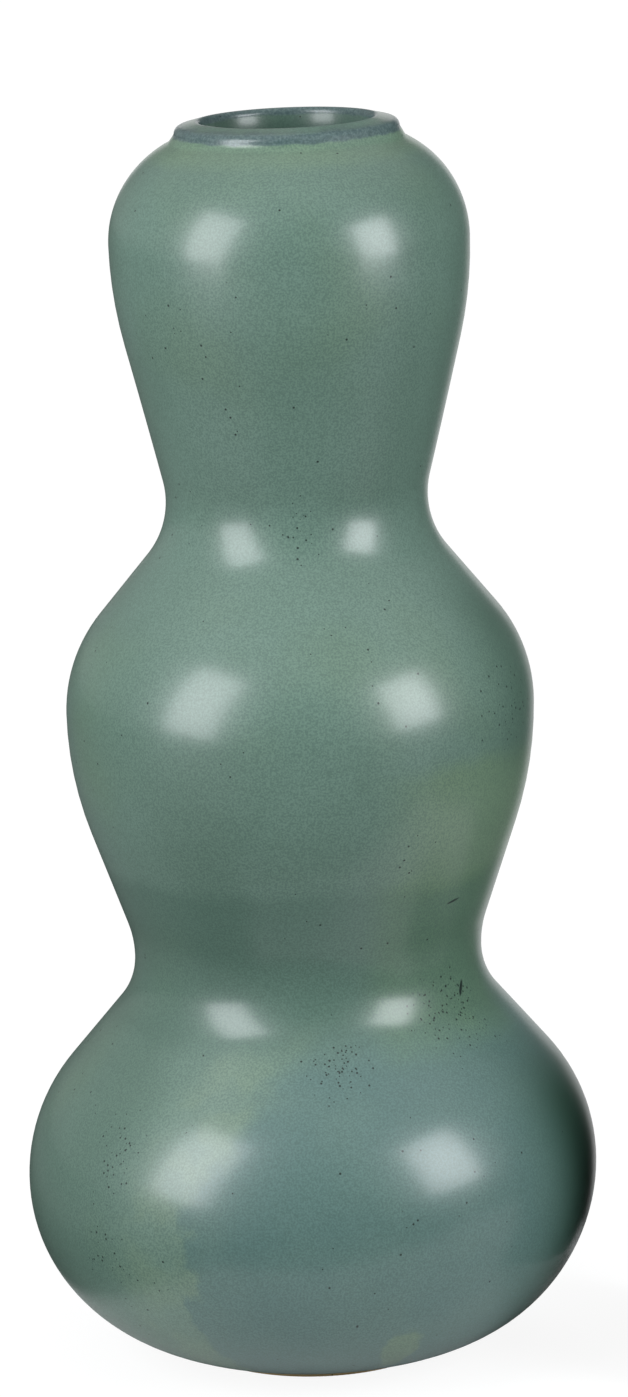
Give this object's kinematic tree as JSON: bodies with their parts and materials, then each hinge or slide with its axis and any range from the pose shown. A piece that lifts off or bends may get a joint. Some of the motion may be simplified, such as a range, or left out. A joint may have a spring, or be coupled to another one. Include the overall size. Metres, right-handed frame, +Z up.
{
  "type": "triple gourd vase",
  "caption": "Tall glazed stoneware vase of stacked round bulbs with drawn-in waists, a rolled lip, an open hollow and a bare clay foot; stands free and holds stems.",
  "frame": {"origin": "centre of the foot, on the table", "axes": "+Z up along the axis the vase was thrown about, from the foot to the mouth"},
  "size_m": [0.184, 0.184, 0.4],
  "materials": {
    "stoneware": "matte",
    "slip": "matte",
    "celadon_glaze": "satin",
    "liner_glaze": "satin"
  },
  "bodies": {
    "root": {"foot_ring": "stoneware", "foot_luting": "slip", "lower_bulb": "stoneware", "lower_waist_luting": "slip", "middle_bulb": "stoneware", "upper_waist_luting": "slip", "upper_bulb": "stoneware", "lip_luting": "slip", "mouth_lip": "stoneware", "outer_glaze": "celadon_glaze", "inner_glaze": "liner_glaze"}
  },
  "joints": []
}
